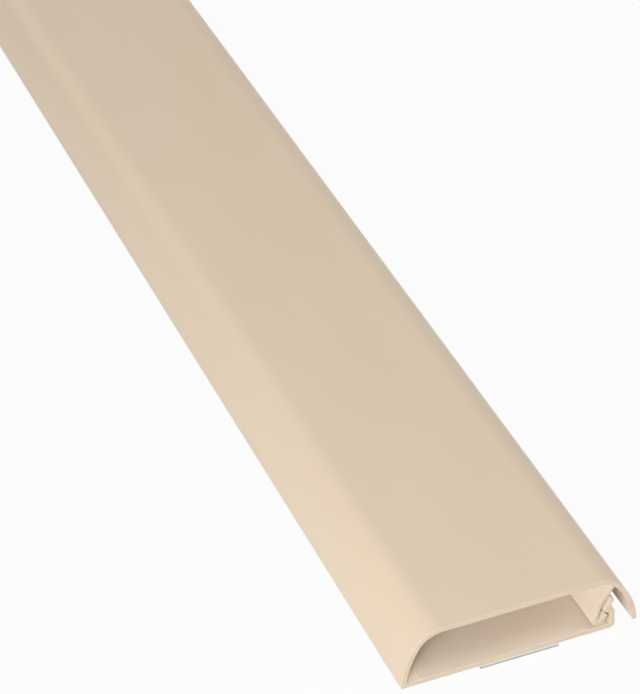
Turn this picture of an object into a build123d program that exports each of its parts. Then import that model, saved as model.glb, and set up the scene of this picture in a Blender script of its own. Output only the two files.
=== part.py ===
from build123d import *
import os
from math import cos, radians, sin, tan

# Cord cover raceway: one extruded stick of rigid plastic, latched shut, with a strip
# of foam tape and its release liner along the back. Sizes are in millimetres.
# X runs across the stick from the hinge side to the latch side, Y along it, Z up.
# The origin is under the middle of the stick, on the surface that it lies on.
# The section is drawn from the bottom corner of the hinge side, as (across, up).

# Stick
stick_length = 1000.0
overall_width = 70.0
cover_height = 17.2
cover_wall = 1.4
base_wall = 1.45
edge_radius = 0.2

# Hinge side: its shoulder is one arc, and the side below it a flatter one
hinge_shoulder_run = 13.2
hinge_shoulder_radius = 10.4
hinge_shoulder_sweep = 60.0
hinge_corner_radius = 0.4

# Thin web in the base beside the hinge side, where the stick flexes open
groove_width = 5.6
groove_depth = 0.3
groove_root_radius = 0.7

# Lip on the latch side, which a finger pulls to open the cover
lip_shoulder_run = 11.5
lip_shoulder_radius = 8.75
lip_shoulder_sweep = 53.0
lip_lift = 0.6
lip_tip_radius = 0.45

# Flange on the latch side of the base, with the slanted catch on top
flange_setback = 6.65
flange_wall = 1.2
flange_height = 6.0
flange_corner_radius = 1.4
flange_shoulder_radius = 1.0
flange_root_radius = 0.4
catch_angle = 54.2
catch_reach = 3.3
catch_nose_height = 6.35
catch_length = 4.45
catch_wall = 0.87
catch_web_run = 2.6
catch_web_drop = 0.8

# Latch leg under the cover: it leaves the cover parallel to the catch, bends down at
# a knee and ends in a hook with a barb
leg_wall = 1.0
leg_angle = 73.2
leg_slack = 1.2
leg_root_setback = 5.95
leg_root_radius = 0.3
knee_radius = 3.0
foot_clearance = 0.75
foot_length = 3.4
foot_wall = 1.4
heel_radius = 0.6
toe_radius = 0.4
barb_wall = 0.92
barb_clearance = 0.5

# Foam tape and the liner that peels off it
tape_width = 23.2
foam_wall = 0.6
liner_wall = 0.5

# Places worked out from the sizes above
flange_face = overall_width - flange_setback
flange_inner = flange_face - flange_wall
groove_floor = base_wall - groove_depth
foot_underside = base_wall + foot_clearance
foot_top = foot_underside + foot_wall
tape_stack = foam_wall + liner_wall

catch_up = Vector(cos(radians(catch_angle)), sin(radians(catch_angle)))
catch_back = Vector(sin(radians(catch_angle)), -cos(radians(catch_angle)))
catch_nose = Vector(flange_face - catch_reach, catch_nose_height)
catch_heel = catch_nose + catch_back * catch_wall
half_leg = Vector(leg_wall / 2 / sin(radians(leg_angle)), 0)


def leg_at(height):
    """Point on the middle line of the lower leg at a height, clear of the catch's nose."""
    rise = height - catch_nose.Y
    across = catch_nose.X - leg_slack - half_leg.X + rise / tan(radians(leg_angle))
    return Vector(across, height)


def leg_root():
    """Where the leg's upper middle line, carried straight on, meets the crown's underside."""
    return Vector(overall_width - leg_root_setback, cover_height - cover_wall)


def leg_knee():
    """Where the upper middle line, parallel to the catch, meets the lower one."""
    root = leg_root()
    gap = root.X - leg_at(root.Y).X
    drop = gap / (1 / tan(radians(catch_angle)) - 1 / tan(radians(leg_angle)))
    return root - catch_up * (drop / catch_up.Y)


def cover_outline():
    """Outer face of the cover, from the hinge side's bottom corner to the lip's tip."""
    crown = Line((hinge_shoulder_run, cover_height), (overall_width - lip_shoulder_run, cover_height))
    hinge_shoulder = JernArc(crown @ 0, (-1, 0), hinge_shoulder_radius, hinge_shoulder_sweep)
    hinge_side = TangentArc(hinge_shoulder @ 1, (0, 0), tangent=hinge_shoulder % 1)
    lip_shoulder = JernArc(crown @ 1, (1, 0), lip_shoulder_radius, -lip_shoulder_sweep)
    lip = TangentArc(lip_shoulder @ 1, (overall_width, lip_lift), tangent=lip_shoulder % 1)
    return Wire([hinge_side, hinge_shoulder, crown, lip_shoulder, lip])


def inside_of(outline):
    """Everything between the cover's outer face and the plane under the base."""
    underside = Polyline(outline @ 1, (overall_width, 0), outline @ 0)
    return make_face(Wire([*outline.edges(), *underside.edges()]))


def base_section():
    """Flat base with the groove of the thin web in its top."""
    base = Pos(flange_face / 2, base_wall / 2) * Rectangle(flange_face, base_wall)
    groove = Pos(groove_width / 2, base_wall - groove_depth / 2) * Rectangle(groove_width, groove_depth)
    return base - groove


def catch_section():
    """Flange standing on the base, and the slanted plate that the barb hooks under."""
    flange = make_face(Polyline(
        (flange_inner, 0),
        (flange_face, 0),
        (flange_face, flange_height),
        catch_heel + catch_up * catch_web_run,
        catch_heel,
        (flange_inner, flange_height - catch_web_drop),
        close=True,
    ))
    plate = make_face(Polyline(
        catch_nose,
        catch_heel,
        catch_heel + catch_up * catch_length,
        catch_nose + catch_up * catch_length,
        close=True,
    ))
    return flange + plate


def leg_section():
    """Leg from above the cover, down past the catch and into the foot."""
    above_cover = leg_root() + catch_up * cover_wall
    in_foot = leg_at(foot_underside + foot_wall / 2)
    path = FilletPolyline(above_cover, leg_knee(), in_foot, radius=knee_radius)
    return make_face(offset(path, leg_wall / 2))


def hook_corners():
    """Heel, toe, the barb's two tips, and the two bottom corners of the hook's throat."""
    heel = leg_at(foot_underside) - half_leg
    toe = heel + Vector(foot_length, 0)
    barb_inner = catch_heel - catch_up * barb_clearance
    barb_outer = barb_inner + catch_back * barb_wall
    barb_root = barb_inner - catch_up * ((barb_inner.Y - foot_top) / catch_up.Y)
    throat = leg_at(foot_top) + half_leg
    return heel, toe, barb_outer, barb_inner, barb_root, throat


def hook_section():
    """Foot of the leg, turned up into the barb that stands clear below the catch."""
    return make_face(Polyline(*hook_corners(), leg_at(foot_top) - half_leg, close=True))


def rounded(section, corners, radius):
    """The section with the corners nearest to the given points rounded."""
    for corner in corners:
        vertex = section.vertices().sort_by_distance((corner.X, corner.Y, 0))[0]
        section = fillet(vertex, radius)
    return section


def raceway_section():
    """Whole section of the stick, latched, with its corners rounded."""
    outline = cover_outline()
    inside = inside_of(outline)
    cover = make_face(offset(outline, cover_wall, side=Side.LEFT))
    leg = leg_section()
    section = cover + base_section() + catch_section() + leg + hook_section()
    section = section & inside

    leg_roots = (cover & leg).vertices().sort_by(Axis.Y)[:2]
    lip_tips = cover.vertices().sort_by_distance((overall_width, lip_lift, 0))[:2]
    heel, toe, barb_outer, barb_inner, barb_root, throat = hook_corners()
    catch_top = catch_nose + catch_up * catch_length

    section = rounded(section, [Vector(0, 0)], hinge_corner_radius)
    section = rounded(section, [Vector(cover_wall, groove_floor)], groove_root_radius)
    section = rounded(section, leg_roots, leg_root_radius)
    section = rounded(section, lip_tips, lip_tip_radius)
    section = rounded(section, [Vector(flange_face, 0)], flange_corner_radius)
    section = rounded(section, [Vector(flange_face, flange_height)], flange_shoulder_radius)
    section = rounded(section, [Vector(flange_inner, base_wall)], flange_root_radius)
    section = rounded(section, [heel], heel_radius)
    section = rounded(section, [toe, barb_root, throat], toe_radius)
    section = rounded(section, [barb_outer, barb_inner], edge_radius)
    section = rounded(section, [catch_nose, catch_top, catch_top + catch_back * catch_wall], edge_radius)
    return section


raceway_channel = Pos(-overall_width / 2, 0, tape_stack) * extrude(
    Plane.XZ * raceway_section(), stick_length / 2, both=True
)
adhesive_tape = Pos(0, 0, liner_wall + foam_wall / 2) * Box(tape_width, stick_length, foam_wall)
release_liner = Pos(0, 0, liner_wall / 2) * Box(tape_width, stick_length, liner_wall)

os.makedirs("parts", exist_ok=True)
export_step(raceway_channel, "parts/raceway_channel.step")
export_step(adhesive_tape, "parts/adhesive_tape.step")
export_step(release_liner, "parts/release_liner.step")
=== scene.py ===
"""Cord cover raceway: a latched stick of extruded PVC with foam tape and a liner on its back.

The section is drawn from the bottom corner of the hinge side, as (across, up), and is
carried along the stick. Lengths are in metres.
"""

from math import cos, pi, radians, sin, tan

import bpy
import numpy as np
from bpy.props import FloatProperty, FloatVectorProperty, PointerProperty
from bpy.types import Operator, Panel, PropertyGroup
from mathutils import Matrix, Vector


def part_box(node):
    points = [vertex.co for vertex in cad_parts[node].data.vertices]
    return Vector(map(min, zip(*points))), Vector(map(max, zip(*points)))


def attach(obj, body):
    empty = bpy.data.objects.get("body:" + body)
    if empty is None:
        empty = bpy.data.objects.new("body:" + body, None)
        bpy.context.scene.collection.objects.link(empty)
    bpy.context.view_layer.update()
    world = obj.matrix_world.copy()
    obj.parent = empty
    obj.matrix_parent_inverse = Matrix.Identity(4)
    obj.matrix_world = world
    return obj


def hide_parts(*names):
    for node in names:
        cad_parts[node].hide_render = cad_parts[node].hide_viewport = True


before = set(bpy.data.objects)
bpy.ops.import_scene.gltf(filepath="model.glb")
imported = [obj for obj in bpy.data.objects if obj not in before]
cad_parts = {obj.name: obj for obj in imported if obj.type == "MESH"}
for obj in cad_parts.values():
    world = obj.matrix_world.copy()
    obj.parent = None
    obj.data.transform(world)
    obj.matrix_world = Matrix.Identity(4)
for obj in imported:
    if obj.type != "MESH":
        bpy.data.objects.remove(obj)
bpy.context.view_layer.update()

bl_info = {
    "name": "Cord Cover Raceway",
    "version": (1, 0, 0),
    "blender": (4, 5, 0),
    "location": "3D View > Sidebar > Raceway",
    "description": "Builds a latched stick of cord cover raceway and its studio",
    "category": "Add Mesh",
}

MM = 0.001
BODY = "root"
INNER_SKIN = "inner_skin"
CHANNEL_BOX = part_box("raceway_channel")
TAPE_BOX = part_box("adhesive_tape")
LINER_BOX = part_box("release_liner")


# Properties

def linear(hex_colour):
    """RGBA in linear light from an sRGB hex colour such as "E2D0B8"."""
    srgb = np.array([int(hex_colour[i:i + 2], 16) for i in (0, 2, 4)]) / 255
    light = np.where(srgb <= 0.04045, srgb / 12.92, ((srgb + 0.055) / 1.055) ** 2.4)
    return (*light.tolist(), 1.0)


def length(name, description, millimetres):
    """A length property with its default in millimetres."""
    return FloatProperty(
        name=name, description=description, default=millimetres * MM,
        subtype="DISTANCE", unit="LENGTH", precision=5,
    )


def angle(name, description, degrees):
    """An angle property with its default in degrees."""
    return FloatProperty(
        name=name, description=description, default=radians(degrees), subtype="ANGLE", unit="ROTATION",
    )


def colour(name, description, hex_colour):
    """A colour property with its default as an sRGB hex colour."""
    return FloatVectorProperty(
        name=name, description=description, default=linear(hex_colour), size=4, min=0, max=1,
        subtype="COLOR",
    )


def power(name, description, watts):
    """A lamp's power with its default in watts."""
    return FloatProperty(name=name, description=description, default=watts, unit="POWER")


class RacewaySection(PropertyGroup):
    """Sizes of the stick's section."""

    overall_width: length("Overall width", "Hinge-side corner to the lip's tip", 70.0)
    cover_wall: length("Cover wall", "Thickness of the cover and the lip", 1.4)
    base_wall: length("Base wall", "Thickness of the flat base", 1.45)
    edge_radius: length("Edge radius", "Rounding of the catch and barb tips", 0.2)
    die_radius: length("Die radius", "Rounding that the die leaves on every other corner", 0.08)

    hinge_shoulder_run: length("Hinge shoulder run", "Hinge corner to the start of the flat crown", 13.2)
    hinge_shoulder_radius: length("Hinge shoulder radius", "Outer arc between crown and hinge side", 10.4)
    hinge_shoulder_sweep: angle("Hinge shoulder sweep", "Turn of the hinge side's shoulder", 60.0)
    hinge_corner_radius: length("Hinge corner radius", "Rounding of the bottom corner", 0.4)
    groove_width: length("Groove width", "Hinge corner to the groove's step", 5.6)
    groove_depth: length("Groove depth", "How far the thin web lies below the base's top", 0.3)
    groove_root_radius: length("Groove root radius", "Rounding between web and hinge side", 0.7)

    lip_shoulder_run: length("Lip shoulder run", "End of the flat crown to the lip's tip", 11.5)
    lip_shoulder_radius: length("Lip shoulder radius", "Outer arc between crown and lip", 8.75)
    lip_shoulder_sweep: angle("Lip shoulder sweep", "Turn of the lip's shoulder", 53.0)
    lip_lift: length("Lip lift", "Tip of the lip above the base's underside", 0.6)
    lip_tip_radius: length("Lip tip radius", "Rounding of the lip's tip", 0.45)

    flange_setback: length("Flange setback", "Lip's tip to the flange's outer face", 6.65)
    flange_wall: length("Flange wall", "Thickness of the flange", 1.2)
    flange_height: length("Flange height", "Top of the flange's upright outer face", 6.0)
    flange_corner_radius: length("Flange corner radius", "Rounding of the base's outer corner", 1.4)
    flange_shoulder_radius: length("Flange shoulder radius", "Rounding where the flange leans in", 1.0)
    flange_root_radius: length("Flange root radius", "Rounding between flange and base", 0.4)
    catch_angle: angle("Catch angle", "Slope of the catch plate", 54.2)
    catch_reach: length("Catch reach", "Flange's outer face to the catch's nose", 3.3)
    catch_nose_height: length("Catch nose height", "Nose above the base's underside", 6.35)
    catch_length: length("Catch length", "Length of the catch plate", 4.45)
    catch_wall: length("Catch wall", "Thickness of the catch plate", 0.87)
    catch_web_run: length("Catch web run", "How far the flange runs up the plate's back", 2.6)
    catch_web_drop: length("Catch web drop", "Inner top of the flange below its outer top", 0.8)

    leg_wall: length("Leg wall", "Thickness of the latch leg", 1.0)
    leg_angle: angle("Leg angle", "Slope of the lower leg", 73.2)
    leg_slack: length("Leg slack", "Gap between the leg and the catch's nose", 1.2)
    leg_root_setback: length("Leg root setback", "Lip's tip back to the leg's root line", 5.95)
    leg_root_radius: length("Leg root radius", "Rounding between leg and cover", 0.3)
    knee_radius: length("Knee radius", "Bend of the leg's middle line", 3.0)
    foot_clearance: length("Foot clearance", "Hook above the top of the base", 0.75)
    foot_length: length("Foot length", "Length of the hook's flat underside", 3.4)
    foot_wall: length("Foot wall", "Thickness of the hook's foot", 1.4)
    heel_radius: length("Heel radius", "Rounding of the hook's heel", 0.6)
    toe_radius: length("Toe radius", "Rounding of the hook's toe and throat", 0.4)
    barb_wall: length("Barb wall", "Thickness of the barb", 0.92)
    barb_clearance: length("Barb clearance", "Gap between barb and catch", 0.5)


class RacewayFinish(PropertyGroup):
    """Colours, surface marks and edges of the stick, the tape and the liner."""

    pvc_colour: colour("PVC", "Rigid PVC, ivory to light tan", "E2CEB5")
    pvc_shade: colour("PVC shade", "Slightly darker drift in the same PVC", "DFCAB0")
    # Painted light: the inner colour is paler and greyer than the real skin, to offset the shade and warm
    # bounce inside the cover
    pvc_inner_painted_light: colour("Inner PVC", "Duller, paler skin inside the cover", "E4D5C3")
    # Painted shade: both saw-cut colours are darker than the skin to offset the strong light on the ends,
    # and the second one darkens the tooth-mark hollows
    cut_colour_painted_darker: colour("Saw-cut PVC", "Cut end of the stick", "C8B7A1")
    cut_hollow_painted_shade: colour("Saw-cut PVC shade", "Hollows of the tooth marks", "C0AF9A")
    foam_colour: colour("Foam", "Closed-cell polyethylene foam", "CFCBC3")
    # Painted shade: the second foam colour darkens the middle of each opened cell
    foam_pit_painted_shade: colour("Foam shade", "Inside of the opened cells", "B6B1A8")
    # The liner's greys are darker than the paper's own: partly the grey paper, partly painted shade along
    # the tape's underside
    liner_grey_and_painted_shade: colour("Liner", "Silicone-coated liner paper", "969696")
    liner_shade: colour("Liner shade", "Denser clouds of fibre", "8E8E8E")
    die_line_pitch: length("Die line pitch", "Width of one drawn line along the stick", 0.6)
    die_line_depth: length("Die line depth", "Height of the drawn lines", 0.0018)
    saw_pitch: length("Saw mark pitch", "Spacing of the tooth marks on a cut end", 0.4)
    saw_depth: length("Saw mark depth", "Height of the tooth marks", 0.005)
    foam_cell: length("Foam cell", "Size of one foam cell", 0.22)
    cut_bevel: length("Cut bevel", "Broken edge round each cut end", 0.03)
    foam_edge_radius: length("Foam edge radius", "Rounding of the foam tape's edges", 0.12)
    liner_edge_radius: length("Liner edge radius", "Rounding of the liner's edges", 0.05)


class RacewayStudio(PropertyGroup):
    """Camera and lights."""

    camera_azimuth: angle("Camera azimuth", "Heading, from along the stick towards the latch side", 18.9)
    camera_dip: angle("Camera dip", "How far the camera looks down", 35.2)
    camera_roll: angle("Camera roll", "Turn about the line of sight", -3.66)
    lens: FloatProperty(
        name="Lens", description="Focal length in millimetres", default=169.24, unit="CAMERA",
    )
    key_power: power("Key", "Soft light from in front, on the hinge side", 15.6)
    low_power: power("Low", "Light near the floor that reaches into the channel", 4.8)
    high_power: power("High", "Large light above the latch side", 19.6)
    far_power: power("Far", "Weak light just beyond the far end, on the hinge side", 0.6)
    sky: FloatProperty(
        name="Sky", description="Even light from all round, as a share of white", default=0.35,
        min=0, max=1, subtype="FACTOR",
    )


# Curves of the section

def heading(turn):
    """Unit vector at an angle from the across axis."""
    return np.array([cos(turn), sin(turn)])


def left_of(direction):
    """Direction turned a quarter turn anticlockwise."""
    return np.array([-direction[1], direction[0]])


def crossing(start, direction, other_start, other_direction):
    """Where two lines, each a point and a direction, cross."""
    normal = left_of(other_direction)
    return start + direction * ((other_start - start) @ normal / (direction @ normal))


def tangent_centre(start, direction, end):
    """Centre of the circle that leaves a point in a direction and passes through another."""
    chord = end - start
    normal = left_of(direction)
    return start + normal * (chord @ chord / (2 * chord @ normal))


def exit_from_circle(start, direction, centre, radius):
    """Where a line from inside a circle leaves it."""
    along = (centre - start) @ direction
    foot = start + direction * along
    miss = foot - centre
    return foot + direction * np.sqrt(radius ** 2 - miss @ miss)


# How finely arcs, rounded corners and flat runs are divided, how near to the end of a run its
# next point may lie, and the shortest flat run that is divided
ARC_STEP = radians(1.5)
ROUNDING_STEP = radians(9)
ROUNDING_SPANS = 4
FLAT_STEP = 2.0 * MM
FLAT_MARGIN = 0.1 * MM
FLAT_LEAST = 3 * FLAT_MARGIN


def arc(centre, start, end):
    """Points round a centre from start to end, the short way, at an even angle."""
    first = np.arctan2(*(start - centre)[::-1])
    turn = (np.arctan2(*(end - centre)[::-1]) - first + pi) % (2 * pi) - pi
    turns = first + turn * np.linspace(0, 1, int(abs(turn) / ARC_STEP) + 2)
    radius = np.linalg.norm(start - centre)
    return centre + radius * np.column_stack([np.cos(turns), np.sin(turns)])


def shrunk(run, centre, wall):
    """An arc's points moved towards its centre by a wall's thickness."""
    radius = np.linalg.norm(run[0] - centre)
    return centre + (run - centre) * (1 - wall / radius)


def straights(*corners):
    """One straight run from each corner to the next."""
    return [np.array([a, b]) for a, b in zip(corners, corners[1:])]


def trimmed(run, head, tail):
    """A run of points cut shorter by a length at its head and at its tail."""
    places = np.r_[0, np.cumsum(np.hypot(*np.diff(run, axis=0).T))]
    low, high = head, places[-1] - tail
    if len(run) == 2:
        middle = np.linspace(low + FLAT_MARGIN, high - FLAT_MARGIN, 2 + int((high - low) / FLAT_STEP))
        kept = middle if high - low > FLAT_LEAST else []
    else:
        kept = places[(places > low + FLAT_MARGIN) & (places < high - FLAT_MARGIN)]
    at = np.r_[low, kept, high]
    return np.column_stack([np.interp(at, places, run[:, 0]), np.interp(at, places, run[:, 1])])


def corner_turn(run, following):
    """Angle that the path turns by from the end of one run to the start of the next."""
    before, after = run[-1] - run[-2], following[1] - following[0]
    cross = before[0] * after[1] - before[1] * after[0]
    return abs(np.arctan2(cross, before @ after))


def rounding(start, corner, end, turn):
    """Circular arc from start to end, tangent to both sides of the corner between them.

    It is the rational quadratic Bezier curve with weight cos(turn / 2) on the corner.
    """
    spans = max(ROUNDING_SPANS, int(turn / ROUNDING_STEP))
    t = np.linspace(0, 1, spans + 1)[1:-1, None]
    weights = (1 - t) ** 2, 2 * t * (1 - t) * cos(turn / 2), t ** 2
    total = sum(weights)
    return (weights[0] * start + weights[1] * corner + weights[2] * end) / total


def closed_outline(runs, radii):
    """Runs joined end to end into a loop, each end rounded by its radius or left tangent.

    With each point comes its place in the list of runs, which rises evenly along a rounding.
    """
    count = len(runs)
    turns = [corner_turn(runs[i], runs[(i + 1) % count]) for i in range(count)]
    trims = [radius * tan(turn / 2) for radius, turn in zip(radii, turns)]
    pieces = []
    for i, run in enumerate(runs):
        pieces.append(trimmed(run, trims[i - 1], trims[i]))
        if not radii[i]:
            pieces[-1] = pieces[-1][:-1]
    loop, places = [], []
    for i, piece in enumerate(pieces):
        loop.append(piece)
        places.append(np.full(len(piece), i))
        if radii[i]:
            following = pieces[(i + 1) % count]
            loop.append(rounding(piece[-1], runs[i][-1], following[0], turns[i]))
            places.append(np.linspace(i, i + 1, len(loop[-1]) + 2)[1:-1])
    return np.concatenate(loop), np.concatenate(places)


def section_outline(size):
    """Closed outline of the latched section, anticlockwise from the hinge corner.

    Straight runs and arcs follow each other, and every corner is an arc tangent to both sides.
    With each point comes its share of inner skin, from 0 outside to 1 inside the cover.
    """
    top = CHANNEL_BOX[1][2] - CHANNEL_BOX[0][2]
    wall = size.cover_wall
    corner = np.zeros(2)
    tip = np.array([size.overall_width, size.lip_lift])

    # Outside of the cover
    crown_start = np.array([size.hinge_shoulder_run, top])
    crown_end = np.array([size.overall_width - size.lip_shoulder_run, top])
    hinge_centre = crown_start - (0, size.hinge_shoulder_radius)
    hinge_down = heading(pi + size.hinge_shoulder_sweep)
    hinge_end = hinge_centre - left_of(hinge_down) * size.hinge_shoulder_radius
    side_centre = tangent_centre(hinge_end, hinge_down, corner)
    lip_centre = crown_end - (0, size.lip_shoulder_radius)
    lip_down = heading(-size.lip_shoulder_sweep)
    lip_end = lip_centre + left_of(lip_down) * size.lip_shoulder_radius
    tip_centre = tangent_centre(lip_end, lip_down, tip)

    lip = arc(tip_centre, tip, lip_end)
    lip_shoulder = arc(lip_centre, lip_end, crown_end)
    hinge_shoulder = arc(hinge_centre, crown_start, hinge_end)
    hinge_side = arc(side_centre, hinge_end, corner)

    # Inside of the cover: the same arcs, one wall nearer to their centres
    web_top = size.base_wall - size.groove_depth
    side_radius = np.linalg.norm(corner - side_centre) - wall
    side_foot_x = side_centre[0] - np.sqrt(side_radius ** 2 - (web_top - side_centre[1]) ** 2)
    side_foot = np.array([side_foot_x, web_top])
    inner_hinge_end = shrunk(hinge_end[None], hinge_centre, wall)[0]
    inner_lip_end = shrunk(lip_end[None], lip_centre, wall)[0]
    inner_tip = shrunk(tip[None], tip_centre, wall)[0]

    # Flange and catch
    flange_face = size.overall_width - size.flange_setback
    flange_inner = flange_face - size.flange_wall
    catch_up = heading(size.catch_angle)
    catch_back = -left_of(catch_up)
    nose = np.array([flange_face - size.catch_reach, size.catch_nose_height])
    catch_heel = nose + catch_back * size.catch_wall
    catch_top = nose + catch_up * size.catch_length

    # Leg and hook
    half_wall = size.leg_wall / 2
    leg_up = heading(size.leg_angle)
    half_leg = np.array([half_wall / leg_up[1], 0])
    abreast = nose - (size.leg_slack, 0) - half_leg
    root = np.array([size.overall_width - size.leg_root_setback, top - wall])
    inside = left_of(catch_up) * half_wall
    knee_inside = crossing(root + inside, catch_up, abreast - half_leg, leg_up)
    knee_outside = crossing(root - inside, catch_up, abreast + half_leg, leg_up)
    lip_inner_radius = size.lip_shoulder_radius - wall
    root_inside = exit_from_circle(knee_inside, catch_up, lip_centre, lip_inner_radius)
    root_outside = exit_from_circle(knee_outside, catch_up, lip_centre, lip_inner_radius)
    level = np.array([1.0, 0.0])
    foot_underside = np.array([0, size.base_wall + size.foot_clearance])
    foot_top = foot_underside + (0, size.foot_wall)
    heel = crossing(foot_underside, level, abreast - half_leg, leg_up)
    throat = crossing(foot_top, level, abreast + half_leg, leg_up)
    barb_inner = catch_heel - catch_up * size.barb_clearance
    barb_outer = barb_inner + catch_back * size.barb_wall
    barb_root = crossing(foot_top, level, barb_inner, catch_up)

    base_and_catch = straights(
        corner,
        (flange_face, 0),
        (flange_face, size.flange_height),
        catch_heel + catch_up * size.catch_web_run,
        catch_top + catch_back * size.catch_wall,
        catch_top,
        nose,
        catch_heel,
        (flange_inner, size.flange_height - size.catch_web_drop),
        (flange_inner, size.base_wall),
        (size.groove_width, size.base_wall),
        (size.groove_width, web_top),
        side_foot,
    )
    base_and_catch_radii = [
        size.flange_corner_radius, size.flange_shoulder_radius, size.die_radius, size.edge_radius,
        size.edge_radius, size.edge_radius, size.die_radius, size.die_radius,
        size.flange_root_radius, size.die_radius, size.die_radius, size.groove_root_radius,
    ]
    cover_inside = [
        arc(side_centre, side_foot, inner_hinge_end),
        shrunk(hinge_shoulder[::-1], hinge_centre, wall),
        np.array([crown_start, crown_end]) - (0, wall),
        arc(lip_centre, crown_end - (0, wall), root_inside),
    ]
    leg_and_hook = straights(
        root_inside, knee_inside, heel, heel + level * size.foot_length,
        barb_outer, barb_inner, barb_root, throat, knee_outside, root_outside,
    )
    leg_and_hook_radii = [
        size.knee_radius + half_wall, size.heel_radius, size.toe_radius, size.edge_radius,
        size.edge_radius, size.toe_radius, size.toe_radius, size.knee_radius - half_wall,
        size.leg_root_radius,
    ]
    lip_and_outside = [
        arc(lip_centre, root_outside, inner_lip_end),
        shrunk(lip[::-1], tip_centre, wall),
        np.array([inner_tip, tip]),
        lip,
        lip_shoulder,
        np.array([crown_end, crown_start]),
        hinge_shoulder,
        hinge_side,
    ]
    tangent = 0
    runs = base_and_catch + cover_inside + leg_and_hook + lip_and_outside
    outline, places = closed_outline(
        runs,
        base_and_catch_radii
        + [tangent, tangent, tangent, size.leg_root_radius]
        + leg_and_hook_radii
        + [tangent, size.lip_tip_radius, size.lip_tip_radius, tangent, tangent, tangent, tangent]
        + [size.hinge_corner_radius],
    )

    # Each run's share of inner skin: none under the base, on the flange's face and on the
    # cover's five outer runs, half on the end of the lip's tip, and all on the rest
    first, last = [0, 0], [0.5] + [0] * 5
    shares = first + [1] * (len(runs) - len(first + last)) + last
    return outline, np.interp(places, np.arange(len(runs) + 1), shares + shares[:1])


def strip_outline(box, radius):
    """A strip's section: the rectangle of its box, each corner a quarter circle."""
    low, high = box
    corners = [(low[0], low[2]), (high[0], low[2]), (high[0], high[2]), (low[0], high[2])]
    return closed_outline(straights(*corners, corners[0]), [radius] * 4)[0]


# Meshes

def outward_normals(outline):
    """Unit normals of a closed anticlockwise outline, pointing out of the material."""
    along = np.roll(outline, -1, axis=0) - np.roll(outline, 1, axis=0)
    normals = np.column_stack([along[:, 1], -along[:, 0]])
    return normals / np.linalg.norm(normals, axis=1, keepdims=True)


def carried_along(outline, stations, insets):
    """Vertices and faces of a section carried along Y.

    Row r holds the outline moved inwards by insets[r], at y = stations[r]. Quads join each
    row to the next, and one face closes each end.
    """
    count, rows = len(outline), len(stations)
    inset = outline[None] - outward_normals(outline)[None] * np.asarray(insets)[:, None, None]
    points = np.empty((rows, count, 3))
    points[..., 0] = inset[..., 0]
    points[..., 1] = np.asarray(stations)[:, None]
    points[..., 2] = inset[..., 1]
    here = np.arange(count)
    beside = np.roll(here, -1)
    row = np.arange(rows - 1)[:, None] * count
    quads = np.stack([row + here, row + beside, row + count + beside, row + count + here], axis=-1)
    ends = [here[::-1].tolist(), (here + (rows - 1) * count).tolist()]
    return points.reshape(-1, 3), quads.reshape(-1, 4).tolist() + ends


# The export keeps texture places that have this name. The sides lie in columns, the ends are
# drawn larger, and neighbours stand a gap apart.
MAP_NAME = "OFBake"
MAP_COLUMNS = 2
MAP_END_SCALE = 3.0
MAP_GAP = 2 * MM


def flattened_map(outline, stations):
    """Texture places of the same faces: the sides laid flat in columns, the ends above them.

    Across is the way round the outline, up is the way along the stick, both at one scale.
    The stick is cut into equal lengths that stand side by side, and the ends are enlarged.
    """
    count, rows = len(outline), len(stations)
    steps = np.linalg.norm(np.roll(outline, -1, axis=0) - outline, axis=1)
    round_it = np.r_[0, np.cumsum(steps)]
    whole = stations[-1] - stations[0]
    part = whole / MAP_COLUMNS
    middle = (np.asarray(stations[1:]) + np.asarray(stations[:-1])) / 2 - stations[0]
    column = np.minimum((middle / part).astype(int), MAP_COLUMNS - 1)
    column_width = round_it[-1] + MAP_GAP
    low = np.asarray(stations[:-1]) - stations[0] - column * part
    high = np.asarray(stations[1:]) - stations[0] - column * part
    left = column[:, None] * column_width + round_it[:-1]
    right = column[:, None] * column_width + round_it[1:]
    across = np.stack([left, right, right, left], axis=-1)
    up = np.stack([low, low, high, high], axis=-1)[:, None, :].repeat(count, axis=1)
    sides = np.stack([across, up], axis=-1).reshape(-1, 2)
    span = np.ptp(outline[:, 0])
    ends = (outline - outline.min(axis=0)) * MAP_END_SCALE + (MAP_GAP, part + 2 * MAP_GAP)
    near = ends[::-1]
    far = ends + (span * MAP_END_SCALE + 2 * MAP_GAP, 0)
    places = np.concatenate([sides, near, far])
    return places / max(places.max(), MAP_COLUMNS * column_width)


def add_piece(name, points, faces, places, replaced):
    """A mesh object of the part with its texture places, riding on the body."""
    mesh = bpy.data.meshes.new(name)
    mesh.from_pydata(points, [], faces)
    mesh.uv_layers.new(name=MAP_NAME).uv.foreach_set("vector", places.ravel())
    piece = bpy.data.objects.new(name, mesh)
    bpy.context.scene.collection.objects.link(piece)
    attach(piece, BODY)
    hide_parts(replaced)
    return piece


def shade_between_sharp_edges(mesh, limit):
    """Smooth shading, broken at edges whose faces turn by more than the limit."""
    mesh.polygons.foreach_set("use_smooth", np.ones(len(mesh.polygons), bool))
    mesh.set_sharp_from_angle(angle=limit)


def give_end_material(mesh):
    """The last two faces of the mesh, its ends, take the second material."""
    slots = np.zeros(len(mesh.polygons), np.int32)
    slots[-2:] = 1
    mesh.polygons.foreach_set("material_index", slots)


def give_inner_share(mesh, share):
    """Each vertex gets its share of inner skin, the same in every row of the section."""
    attribute = mesh.attributes.new(INNER_SKIN, "FLOAT", "POINT")
    rows = len(mesh.vertices) // len(share)
    attribute.data.foreach_set("value", np.tile(share, rows).astype(np.float32))


# Materials

PVC_IOR = 1.53
POLYETHYLENE_IOR = 1.49
PAPER_IOR = 1.47

# Roughness of each surface: a range where it varies, and otherwise one value
OUTER_ROUGHNESS = {"To Min": 0.42, "To Max": 0.48}
LINER_ROUGHNESS = {"To Min": 0.34, "To Max": 0.46}
INNER_ROUGHNESS = 0.6
CUT_ROUGHNESS = 0.62
FOAM_ROUGHNESS = 0.85

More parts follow.
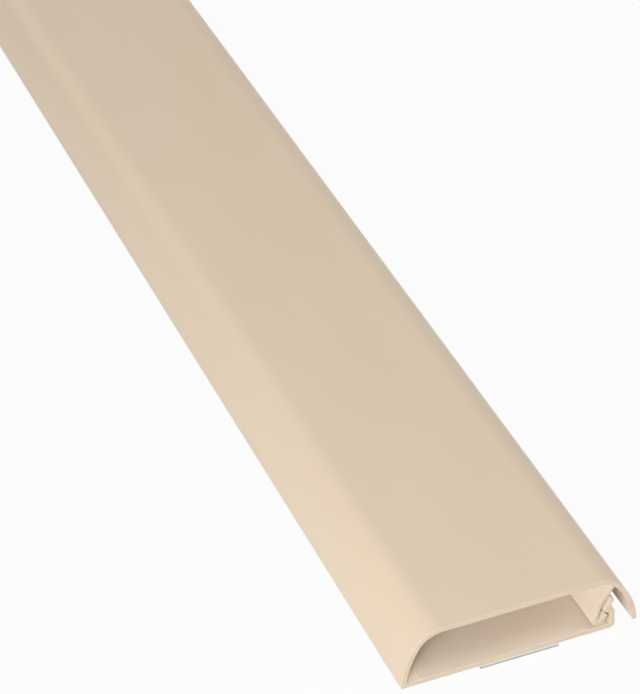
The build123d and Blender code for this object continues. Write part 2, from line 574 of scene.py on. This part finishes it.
# Sizes of what the materials draw, across, along and up, how high or deep it is, and the
# middle of the saw's blade as it cuts
DRIFT_SIZE = (40 * MM, 160 * MM, 40 * MM)
DIE_LINE_LENGTH = 900 * MM
RIPPLE_SIZE = (2.5 * MM, 4 * MM, 2.5 * MM)
RIPPLE_HEIGHT = 0.004 * MM
SAW_CENTRE = (20 * MM, 0, 135 * MM)
GRAIN_SIZE = 0.3 * MM
GRAIN_HEIGHT = 0.006 * MM
CELL_DEPTH = 0.05 * MM
CLOUD_SIZE = (3 * MM, 5 * MM, 3 * MM)
CLOUD_HEIGHT = 0.01 * MM

# Noise seldom leaves this range, and the distance from a cell's centre seldom this one
NOISE_RANGE = {"From Min": 0.3, "From Max": 0.7}
CELL_RANGE = {"From Min": 0.0, "From Max": 0.7}


def add_node(tree, kind, inputs=None, **settings):
    """Add a node with its settings, give its inputs values or links, and return its outputs."""
    made = tree.nodes.new(kind)
    for name, value in settings.items():
        setattr(made, name, value)
    for socket, source in (inputs or {}).items():
        if isinstance(source, bpy.types.NodeSocket):
            tree.links.new(source, made.inputs[socket])
        else:
            made.inputs[socket].default_value = source
    return made.outputs


def emptied_tree(owner):
    """The node tree of a material or world, with nothing in it."""
    owner.use_nodes = True
    owner.node_tree.nodes.clear()
    return owner.node_tree


def per_length(*sizes):
    """Mapping scale that makes noise of scale 1 have features of these sizes in X, Y and Z."""
    return [1 / size for size in sizes]


def pvc_extruded(finish):
    """Rigid PVC drawn through a die: satin and even, with faint lines along the stick."""
    material = bpy.data.materials.new("pvc_extruded")
    tree = emptied_tree(material)
    place = add_node(tree, "ShaderNodeTexCoord")["Object"]

    # The melt drifts in tint over a hand's length, by so little that it only looks less flat
    drift_place = add_node(
        tree, "ShaderNodeMapping",
        {"Vector": place, "Scale": per_length(*DRIFT_SIZE)},
    )["Vector"]
    drift = add_node(tree, "ShaderNodeTexNoise", {"Vector": drift_place, "Scale": 1.0})["Fac"]
    share = add_node(tree, "ShaderNodeMapRange", {"Value": drift, **NOISE_RANGE})["Result"]
    tint = add_node(
        tree, "ShaderNodeMix", {"Factor": share, "A": finish.pvc_colour, "B": finish.pvc_shade},
        data_type="RGBA",
    )["Result"]

    # The inside cools in air and not against the sizing tools, so it stays duller. Its colour is painted
    # light: paler and greyer than the real skin, to offset the warm shade that light bouncing between the
    # walls gives the inside.
    inner = add_node(tree, "ShaderNodeAttribute", attribute_name=INNER_SKIN)["Fac"]
    skin = add_node(
        tree, "ShaderNodeMix", {"Factor": inner, "A": tint, "B": finish.pvc_inner_painted_light},
        data_type="RGBA",
    )["Result"]

    # Die lines streak the sheen along the stick. Real ones are under 0.1 mm apart, too fine
    # to show, so they are drawn coarser.
    pitch = finish.die_line_pitch
    drawn_place = add_node(
        tree, "ShaderNodeMapping",
        {"Vector": place, "Scale": per_length(pitch, DIE_LINE_LENGTH, pitch)},
    )["Vector"]
    lines = add_node(
        tree, "ShaderNodeTexNoise",
        {"Vector": drawn_place, "Scale": 1.0, "Detail": 3.0, "Roughness": 0.6},
    )["Fac"]
    sheen = add_node(
        tree, "ShaderNodeMapRange", {"Value": lines, **NOISE_RANGE, **OUTER_ROUGHNESS},
    )["Result"]
    gloss = add_node(
        tree, "ShaderNodeMix", {"Factor": inner, "A": sheen, "B": INNER_ROUGHNESS},
    )["Result"]
    drawn = add_node(
        tree, "ShaderNodeBump", {"Height": lines, "Distance": finish.die_line_depth},
    )["Normal"]

    # The skin ripples slightly where it cooled, which softens the edges of what it reflects
    ripple_place = add_node(
        tree, "ShaderNodeMapping",
        {"Vector": place, "Scale": per_length(*RIPPLE_SIZE)},
    )["Vector"]
    ripple = add_node(tree, "ShaderNodeTexNoise", {"Vector": ripple_place, "Scale": 1.0})["Fac"]
    surface = add_node(
        tree, "ShaderNodeBump", {"Height": ripple, "Distance": RIPPLE_HEIGHT, "Normal": drawn},
    )["Normal"]

    shader = add_node(
        tree, "ShaderNodeBsdfPrincipled",
        {"Base Color": skin, "Roughness": gloss, "IOR": PVC_IOR, "Normal": surface},
    )["BSDF"]
    add_node(tree, "ShaderNodeOutputMaterial", {"Surface": shader})
    return material


def pvc_saw_cut(finish):
    """Rigid PVC cut across by a circular saw: duller than the skin, with faint tooth marks."""
    material = bpy.data.materials.new("pvc_saw_cut")
    tree = emptied_tree(material)
    place = add_node(tree, "ShaderNodeTexCoord")["Object"]

    # The teeth leave arcs about the blade's centre, with painted shade in their hollows. The whole cut is
    # also painted darker than the skin: painted shade that offsets the strong light on the ends. Real
    # marks are under 0.1 mm apart, too fine to show, so they are drawn coarser.
    level = add_node(tree, "ShaderNodeMapping", {"Vector": place, "Scale": (1, 0, 1)})["Vector"]
    reach = add_node(
        tree, "ShaderNodeVectorMath", {0: level, 1: SAW_CENTRE}, operation="DISTANCE",
    )["Value"]
    marks = add_node(
        tree, "ShaderNodeTexNoise", {"W": reach, "Scale": 1 / finish.saw_pitch},
        noise_dimensions="1D",
    )["Fac"]
    tint = add_node(
        tree, "ShaderNodeMix", {"Factor": marks, "A": finish.cut_hollow_painted_shade, "B": finish.cut_colour_painted_darker},
        data_type="RGBA",
    )["Result"]
    sawn = add_node(
        tree, "ShaderNodeBump", {"Height": marks, "Distance": finish.saw_depth},
    )["Normal"]

    # Between the marks the plastic is torn to a fine grain, so the cut has no sheen
    grain = add_node(
        tree, "ShaderNodeTexNoise", {"Vector": place, "Scale": 1 / GRAIN_SIZE, "Detail": 3.0},
    )["Fac"]
    surface = add_node(
        tree, "ShaderNodeBump", {"Height": grain, "Distance": GRAIN_HEIGHT, "Normal": sawn},
    )["Normal"]

    shader = add_node(
        tree, "ShaderNodeBsdfPrincipled",
        {"Base Color": tint, "Roughness": CUT_ROUGHNESS, "IOR": PVC_IOR, "Normal": surface},
    )["BSDF"]
    add_node(tree, "ShaderNodeOutputMaterial", {"Surface": shader})
    return material


def foam_slit(finish):
    """Closed-cell polyethylene foam, slit to width: matt, and pitted where cells are cut open."""
    material = bpy.data.materials.new("polyethylene_foam_slit")
    tree = emptied_tree(material)
    place = add_node(tree, "ShaderNodeTexCoord")["Object"]

    # The cells of so thin a foam measure about 0.15 mm, and are drawn a little coarser
    cells = add_node(
        tree, "ShaderNodeTexVoronoi", {"Vector": place, "Scale": 1 / finish.foam_cell},
    )["Distance"]
    # Painted shade: each cell is painted darker towards its middle, where the pit lies
    pit_shade_share = add_node(
        tree, "ShaderNodeMapRange", {"Value": cells, **CELL_RANGE, "To Min": 1.0, "To Max": 0.0},
    )["Result"]
    tint = add_node(
        tree, "ShaderNodeMix", {"Factor": pit_shade_share, "A": finish.foam_colour, "B": finish.foam_pit_painted_shade},
        data_type="RGBA",
    )["Result"]
    surface = add_node(tree, "ShaderNodeBump", {"Height": cells, "Distance": CELL_DEPTH})["Normal"]

    shader = add_node(
        tree, "ShaderNodeBsdfPrincipled",
        {"Base Color": tint, "Roughness": FOAM_ROUGHNESS, "IOR": POLYETHYLENE_IOR, "Normal": surface},
    )["BSDF"]
    add_node(tree, "ShaderNodeOutputMaterial", {"Surface": shader})
    return material


def liner_paper(finish):
    """Glassine paper, silicone coated: smooth and greyish, with a dull sheen over faint clouds."""
    material = bpy.data.materials.new("glassine_liner_coated")
    tree = emptied_tree(material)
    place = add_node(tree, "ShaderNodeTexCoord")["Object"]

    # The fibres lie in clouds a few millimetres wide, longer the way the paper was made
    cloud_place = add_node(
        tree, "ShaderNodeMapping",
        {"Vector": place, "Scale": per_length(*CLOUD_SIZE)},
    )["Vector"]
    cloud = add_node(
        tree, "ShaderNodeTexNoise",
        {"Vector": cloud_place, "Scale": 1.0, "Detail": 4.0, "Roughness": 0.6},
    )["Fac"]
    share = add_node(tree, "ShaderNodeMapRange", {"Value": cloud, **NOISE_RANGE})["Result"]
    # Both greys are darker than the paper's own: painted shade for the dark line under the tape's edge
    tint = add_node(
        tree, "ShaderNodeMix", {"Factor": share, "A": finish.liner_grey_and_painted_shade, "B": finish.liner_shade},
        data_type="RGBA",
    )["Result"]
    sheen = add_node(
        tree, "ShaderNodeMapRange", {"Value": cloud, **NOISE_RANGE, **LINER_ROUGHNESS},
    )["Result"]
    surface = add_node(tree, "ShaderNodeBump", {"Height": cloud, "Distance": CLOUD_HEIGHT})["Normal"]

    shader = add_node(
        tree, "ShaderNodeBsdfPrincipled",
        {"Base Color": tint, "Roughness": sheen, "IOR": PAPER_IOR, "Normal": surface},
    )["BSDF"]
    add_node(tree, "ShaderNodeOutputMaterial", {"Surface": shader})
    return material


# Operators

STICK_ROWS = 41
STRIP_ROWS = 81
STICK_SHARP_TURN = radians(25)
STRIP_SHARP_TURN = radians(40)


class OBJECT_OT_raceway_stick(Operator):
    """Build the extruded stick, from its section"""

    bl_idname = "object.raceway_stick"
    bl_label = "Raceway Stick"

    def execute(self, context):
        size = context.scene.raceway_section
        finish = context.scene.raceway_finish
        low, high = CHANNEL_BOX
        section, inner_share = section_outline(size)
        outline = section + (-size.overall_width / 2, low[2])
        bevel = finish.cut_bevel
        between = np.linspace(low[1] + bevel, high[1] - bevel, STICK_ROWS)
        stations = np.r_[low[1], between, high[1]]
        insets = np.r_[bevel, np.zeros(len(between)), bevel]
        points, faces = carried_along(outline, stations, insets)
        places = flattened_map(outline, stations)
        stick = add_piece("raceway_stick", points, faces, places, "raceway_channel")
        stick.data.materials.append(pvc_extruded(finish))
        stick.data.materials.append(pvc_saw_cut(finish))
        give_end_material(stick.data)
        give_inner_share(stick.data, inner_share)
        shade_between_sharp_edges(stick.data, STICK_SHARP_TURN)
        return {"FINISHED"}


class OBJECT_OT_raceway_tape(Operator):
    """Build the foam tape on the back of the stick"""

    bl_idname = "object.raceway_tape"
    bl_label = "Foam Tape"

    def execute(self, context):
        finish = context.scene.raceway_finish
        outline = strip_outline(TAPE_BOX, finish.foam_edge_radius)
        stations = np.linspace(TAPE_BOX[0][1], TAPE_BOX[1][1], STRIP_ROWS)
        points, faces = carried_along(outline, stations, np.zeros(len(stations)))
        places = flattened_map(outline, stations)
        tape = add_piece("foam_tape", points, faces, places, "adhesive_tape")
        tape.data.materials.append(foam_slit(finish))
        shade_between_sharp_edges(tape.data, STRIP_SHARP_TURN)
        return {"FINISHED"}


class OBJECT_OT_raceway_liner(Operator):
    """Build the liner that covers the tape"""

    bl_idname = "object.raceway_liner"
    bl_label = "Release Liner"

    def execute(self, context):
        finish = context.scene.raceway_finish
        outline = strip_outline(LINER_BOX, finish.liner_edge_radius)
        stations = np.linspace(LINER_BOX[0][1], LINER_BOX[1][1], STRIP_ROWS)
        points, faces = carried_along(outline, stations, np.zeros(len(stations)))
        places = flattened_map(outline, stations)
        liner = add_piece("release_liner_strip", points, faces, places, "release_liner")
        liner.data.materials.append(liner_paper(finish))
        shade_between_sharp_edges(liner.data, STRIP_SHARP_TURN)
        return {"FINISHED"}


class SCENE_OT_raceway_studio(Operator):
    """Set the floor, the lights and the camera round the stick"""

    bl_idname = "scene.raceway_studio"
    bl_label = "Raceway Studio"

    def execute(self, context):
        studio = context.scene.raceway_studio
        add_floor()
        add_world(context.scene, studio.sky)
        for name, place in LAMPS.items():
            add_lamp(name, *place, getattr(studio, name + "_power"))
        add_camera(context.scene, studio)
        context.scene.view_settings.view_transform = "Standard"
        return {"FINISHED"}


def background_share(tree):
    """1 for rays that show the background: from the camera, or by a reflection or glass."""
    path = add_node(tree, "ShaderNodeLightPath")
    seen = add_node(
        tree, "ShaderNodeMath", {0: path["Is Camera Ray"], 1: path["Is Glossy Ray"]},
        operation="MAXIMUM",
    )["Value"]
    return add_node(
        tree, "ShaderNodeMath", {0: seen, 1: path["Is Transmission Ray"]}, operation="MAXIMUM",
    )["Value"]


FLOOR_REACH = 6.0
FLOOR_WHITE_SHARE = 0.94
BOARD_COLOUR = "D8D8D6"
WHITE = "FFFFFF"


def add_floor():
    """A pale floor that shows nearly white and keeps a soft shadow."""
    mesh = bpy.data.meshes.new("floor")
    corners = [(-1, -1), (1, -1), (1, 1), (-1, 1)]
    mesh.from_pydata([(FLOOR_REACH * x, FLOOR_REACH * y, 0) for x, y in corners], [], [(0, 1, 2, 3)])
    floor = bpy.data.objects.new("floor", mesh)
    bpy.context.scene.collection.objects.link(floor)

    # Painted board, mostly shown as plain white so that no edge or colour of it is seen
    material = bpy.data.materials.new("painted_board_floor")
    tree = emptied_tree(material)
    board = add_node(tree, "ShaderNodeBsdfDiffuse", {"Color": linear(BOARD_COLOUR)})["BSDF"]
    white = add_node(tree, "ShaderNodeEmission", {"Color": linear(WHITE)})["Emission"]
    share = add_node(
        tree, "ShaderNodeMath", {0: background_share(tree), 1: FLOOR_WHITE_SHARE},
        operation="MULTIPLY",
    )["Value"]
    shown = add_node(tree, "ShaderNodeMixShader", {0: share, 1: board, 2: white})["Shader"]
    add_node(tree, "ShaderNodeOutputMaterial", {"Surface": shown})
    mesh.materials.append(material)


def add_world(scene, sky):
    """Even light from all round, which the camera sees as white."""
    world = bpy.data.worlds.new("studio_white")
    tree = emptied_tree(world)
    strength = add_node(
        tree, "ShaderNodeMapRange", {"Value": background_share(tree), "To Min": sky, "To Max": 1.0},
    )["Result"]
    light = add_node(
        tree, "ShaderNodeBackground", {"Color": linear(WHITE), "Strength": strength},
    )["Background"]
    add_node(tree, "ShaderNodeOutputWorld", {"Surface": light})
    scene.world = world


NEAR_END = Vector((0, CHANNEL_BOX[0][1], CHANNEL_BOX[0][2]))
FAR_END = Vector((0, CHANNEL_BOX[1][1], CHANNEL_BOX[0][2]))

# What each lamp aims at, its azimuth, its height above the floor as an angle, how far away it
# is and how wide. Its power is the studio property that starts with its name.
LAMPS = {
    "key": (NEAR_END, radians(-31), radians(30), 1.6, 0.5),
    "low": (NEAR_END, radians(-46), radians(9), 0.95, 0.45),
    "far": (FAR_END, radians(-150), radians(32), 0.5, 0.3),
    "high": (NEAR_END, radians(70), radians(50), 2.6, 1.2),
}


def add_lamp(name, aim, azimuth, height, distance, width, watts):
    """A square soft lamp; azimuth turns from in front of the near end towards the latch side."""
    away = Vector((sin(azimuth) * cos(height), -cos(azimuth) * cos(height), sin(height)))
    light = bpy.data.lights.new(name, "AREA")
    light.size = width
    light.energy = watts
    lamp = bpy.data.objects.new(name, light)
    lamp.location = aim + away * distance
    lamp.rotation_euler = away.to_track_quat("Z", "Y").to_euler()
    lamp.visible_camera = False
    bpy.context.scene.collection.objects.link(lamp)


CAMERA_FROM_CORNER = (-229.8 * MM, -622.5 * MM, 582.2 * MM)
SENSOR_WIDTH = 36.0
VIEW_REACH = 50.0


def add_camera(scene, studio):
    """Camera near the hinge side's corner of the near end, at the photograph's angle."""
    data = bpy.data.cameras.new("camera")
    data.lens = studio.lens
    data.sensor_width = SENSOR_WIDTH
    data.clip_end = VIEW_REACH
    camera = bpy.data.objects.new("camera", data)
    size = scene.raceway_section
    low = CHANNEL_BOX[0]
    corner = Vector((-size.overall_width / 2, low[1], low[2]))
    turn = (
        Matrix.Rotation(-studio.camera_azimuth, 4, "Z")
        @ Matrix.Rotation(pi / 2 - studio.camera_dip, 4, "X")
        @ Matrix.Rotation(studio.camera_roll, 4, "Z")
    )
    camera.matrix_world = Matrix.Translation(corner + Vector(CAMERA_FROM_CORNER)) @ turn
    scene.collection.objects.link(camera)
    scene.camera = camera


class VIEW3D_PT_raceway(Panel):
    """Lists the raceway's operators and sizes"""

    bl_label = "Cord Cover Raceway"
    bl_idname = "VIEW3D_PT_raceway"
    bl_space_type = "VIEW_3D"
    bl_region_type = "UI"
    bl_category = "Raceway"

    def draw(self, context):
        for operator in OPERATORS:
            self.layout.operator(operator.bl_idname)
        for name in GROUPS:
            box = self.layout.box()
            group = getattr(context.scene, name)
            for prop in group.bl_rna.properties:
                if prop.identifier not in {"rna_type", "name"}:
                    box.prop(group, prop.identifier)


GROUPS = {
    "raceway_section": RacewaySection,
    "raceway_finish": RacewayFinish,
    "raceway_studio": RacewayStudio,
}
OPERATORS = (
    OBJECT_OT_raceway_stick,
    OBJECT_OT_raceway_tape,
    OBJECT_OT_raceway_liner,
    SCENE_OT_raceway_studio,
)


def register():
    """Register the classes and hang the property groups on the scene."""
    for name, group in GROUPS.items():
        bpy.utils.register_class(group)
        setattr(bpy.types.Scene, name, PointerProperty(type=group))
    for shown in (*OPERATORS, VIEW3D_PT_raceway):
        bpy.utils.register_class(shown)


def unregister():
    """Undo register."""
    for shown in reversed((*OPERATORS, VIEW3D_PT_raceway)):
        bpy.utils.unregister_class(shown)
    for name, group in GROUPS.items():
        delattr(bpy.types.Scene, name)
        bpy.utils.unregister_class(group)


def main():
    """Build the part and its studio."""
    register()
    bpy.ops.object.raceway_stick()
    bpy.ops.object.raceway_tape()
    bpy.ops.object.raceway_liner()
    bpy.ops.scene.raceway_studio()


if __name__ == "__main__":
    main()
